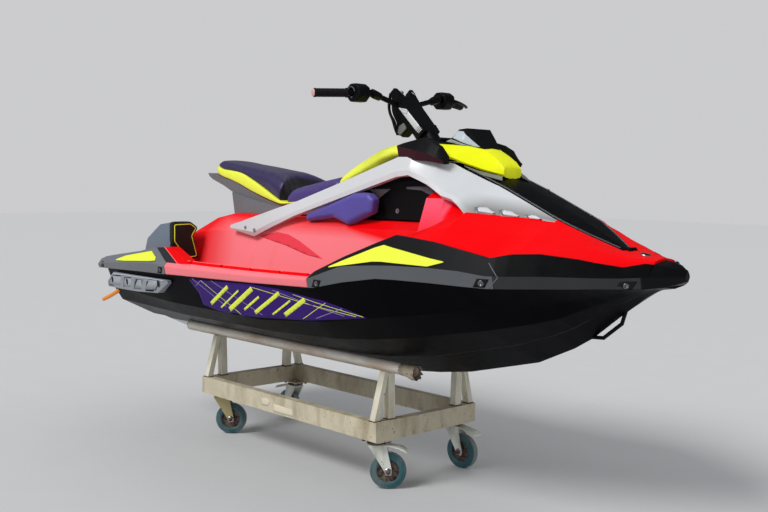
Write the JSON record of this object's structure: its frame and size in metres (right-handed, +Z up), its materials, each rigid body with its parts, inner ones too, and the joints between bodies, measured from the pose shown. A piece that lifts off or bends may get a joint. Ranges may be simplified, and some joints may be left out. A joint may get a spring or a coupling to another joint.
{
  "type": "personal watercraft on cradle trolley",
  "caption": "Sit-on personal watercraft with stepped side arches, raised tail seat and handlebar, standing on a welded tube cradle with swivel casters.",
  "frame": {"origin": "on the floor, below the centre of the bounding box", "axes": "+X to the bow, +Y to port, +Z up"},
  "size_m": [3.13, 1.13, 1.65],
  "materials": {
    "hull_black": "gloss",
    "red": "gloss",
    "grey": "satin",
    "black": "satin",
    "black_gloss": "gloss",
    "yellow": "gloss",
    "yellow_soft": "satin",
    "silver": "metallic",
    "purple_vinyl": "satin",
    "rubber": "matt",
    "steel": "satin",
    "engine": "matt",
    "aluminium": "satin",
    "grip": "matt",
    "cream": "worn",
    "worn_steel": "worn",
    "zinc": "worn",
    "fork_paint": "worn",
    "tyre": "worn",
    "rusty_hub": "rusty"
  },
  "bodies": {
    "craft_on_trolley": {"hull": "hull_black", "stern_deck": "red", "side_decks": "red", "footwell_liners": "red", "pedestal": "red", "bow_deck": "red", "stern_bumpers": "grey", "gunwale_rails": "red", "side_fairings": "grey", "bow_bumper": "black", "fairing_inserts": "yellow", "stern_inserts": "yellow", "side_arches": "silver", "console": "black", "dash": "black", "tank_cover": "yellow_soft", "seat_base": "grey", "seat_cushion": "purple_vinyl", "seat_skirt": "yellow_soft", "knee_pads": "purple_vinyl", "heel_chocks": "grey", "heel_pads": "rubber", "mirrors": "black", "sponsons": "grey", "tow_eyes": "steel", "engine": "engine", "ride_plate": "aluminium", "intake_grate": "aluminium", "pump_housing": "aluminium", "hood_hinge": "steel", "trolley_frame": "cream", "trolley_legs": "cream", "bunk_tubes": "worn_steel"},
    "hood": {"hood": "black_gloss", "hood_cowl": "yellow", "hood_visor": "black"},
    "steering": {"steering_post": "black", "handlebar": "black", "handlebar_grips": "grip", "switch_pods": "black"},
    "jet_nozzle": {"steering_nozzle": "aluminium"},
    "reverse_gate": {"reverse_bucket": "aluminium"},
    "rotor": {"impeller": "steel", "drive_shaft": "steel"},
    "swivel_right_front": {"caster_fork_right_front": "fork_paint"},
    "wheel_right_front": {"caster_tyre_right_front": "tyre", "caster_hub_right_front": "rusty_hub"},
    "swivel_right_rear": {"caster_fork_right_rear": "zinc"},
    "wheel_right_rear": {"caster_tyre_right_rear": "tyre", "caster_hub_right_rear": "rusty_hub"},
    "swivel_left_front": {"caster_fork_left_front": "fork_paint"},
    "wheel_left_front": {"caster_tyre_left_front": "tyre", "caster_hub_left_front": "rusty_hub"},
    "swivel_left_rear": {"caster_fork_left_rear": "fork_paint"},
    "wheel_left_rear": {"caster_tyre_left_rear": "tyre", "caster_hub_left_rear": "rusty_hub"}
  },
  "joints": [
    {"name": "steering_turn", "type": "hinge", "parent": "craft_on_trolley", "child": "steering", "pos_m": [0.352, 0, 1.455], "axis": [-0.6428, 0, 0.766], "range_deg": [-20, 20]},
    {"name": "nozzle_turn", "type": "hinge", "parent": "craft_on_trolley", "child": "jet_nozzle", "pos_m": [-1.4, 0, 0.56], "axis": [0, 0, 1], "range_deg": [-20, 20]},
    {"name": "reverse_swing", "type": "hinge", "parent": "craft_on_trolley", "child": "reverse_gate", "pos_m": [-1.4, 0, 0.56], "axis": [0, -1, 0], "range_deg": [0, 55]},
    {"name": "rotor_spin", "type": "hinge", "parent": "craft_on_trolley", "child": "rotor", "pos_m": [-1.15, 0, 0.56], "axis": [1, 0, 0], "continuous": true},
    {"name": "hood_lift", "type": "hinge", "parent": "craft_on_trolley", "child": "hood", "pos_m": [1.346, 0, 1.033], "axis": [0, 1, 0], "range_deg": [0, 45]},
    {"name": "swivel_right_front", "type": "hinge", "parent": "craft_on_trolley", "child": "swivel_right_front", "pos_m": [0.328, -0.243, 0.18], "axis": [0, 0, 1], "continuous": true},
    {"name": "roll_right_front", "type": "hinge", "parent": "swivel_right_front", "child": "wheel_right_front", "pos_m": [0.36229, -0.20661, 0.075], "axis": [-0.7278, 0.6858, 0], "continuous": true},
    {"name": "swivel_right_rear", "type": "hinge", "parent": "craft_on_trolley", "child": "swivel_right_rear", "pos_m": [-0.83, -0.215, 0.18], "axis": [0, 0, 1], "continuous": true},
    {"name": "roll_right_rear", "type": "hinge", "parent": "swivel_right_rear", "child": "wheel_right_rear", "pos_m": [-0.79571, -0.17861, 0.075], "axis": [-0.7278, 0.6858, 0], "continuous": true},
    {"name": "swivel_left_front", "type": "hinge", "parent": "craft_on_trolley", "child": "swivel_left_front", "pos_m": [0.303, 0.25, 0.18], "axis": [0, 0, 1], "continuous": true},
    {"name": "roll_left_front", "type": "hinge", "parent": "swivel_left_front", "child": "wheel_left_front", "pos_m": [0.35281, 0.25436, 0.075], "axis": [-0.0872, 0.9962, 0], "continuous": true},
    {"name": "swivel_left_rear", "type": "hinge", "parent": "craft_on_trolley", "child": "swivel_left_rear", "pos_m": [-0.822, 0.243, 0.18], "axis": [0, 0, 1], "continuous": true},
    {"name": "roll_left_rear", "type": "hinge", "parent": "swivel_left_rear", "child": "wheel_left_rear", "pos_m": [-0.872, 0.243, 0.075], "axis": [0, -1, 0], "continuous": true}
  ],
  "couplings": [
    {"joint": "nozzle_turn", "follows": "steering_turn", "ratio": -1}
  ]
}
